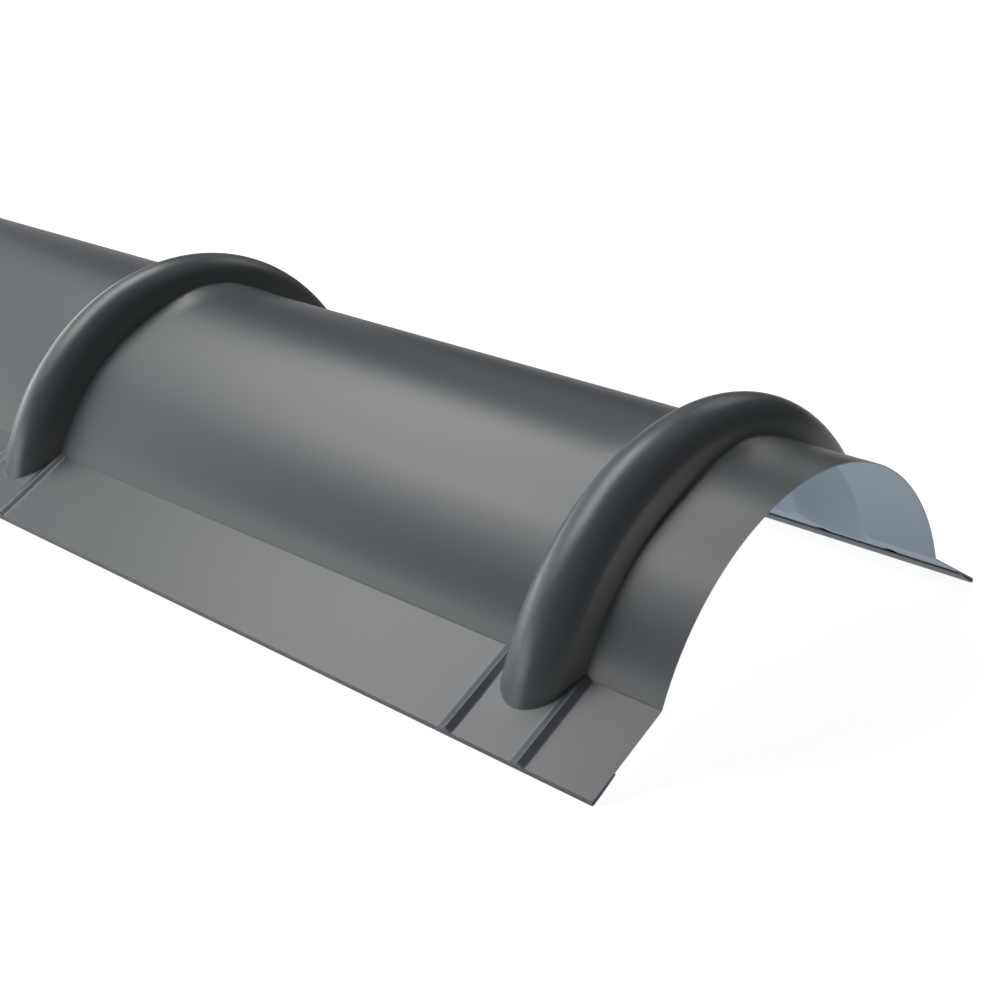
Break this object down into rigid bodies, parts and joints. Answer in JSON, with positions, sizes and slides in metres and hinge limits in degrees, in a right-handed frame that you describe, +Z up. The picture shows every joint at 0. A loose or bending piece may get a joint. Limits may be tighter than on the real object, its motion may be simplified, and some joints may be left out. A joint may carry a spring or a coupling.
{
  "type": "roof ridge cap",
  "caption": "Half-round sheet-metal roof ridge cap with raised ring beads, sloping flanges and folded hems.",
  "frame": {"origin": "under the middle of the cap: mid-length, mid-width, on the level of the two hems that it rests on", "axes": "+X along the ridge, +Y across it over one flange, +Z up through the crown of the arch"},
  "size_m": [1.86, 0.2734, 0.1077],
  "materials": {
    "coated_sheet": "satin graphite top coat, blue-grey backing coat underneath"
  },
  "bodies": {
    "root": {"ridge_cap": "coated_sheet"}
  },
  "joints": []
}
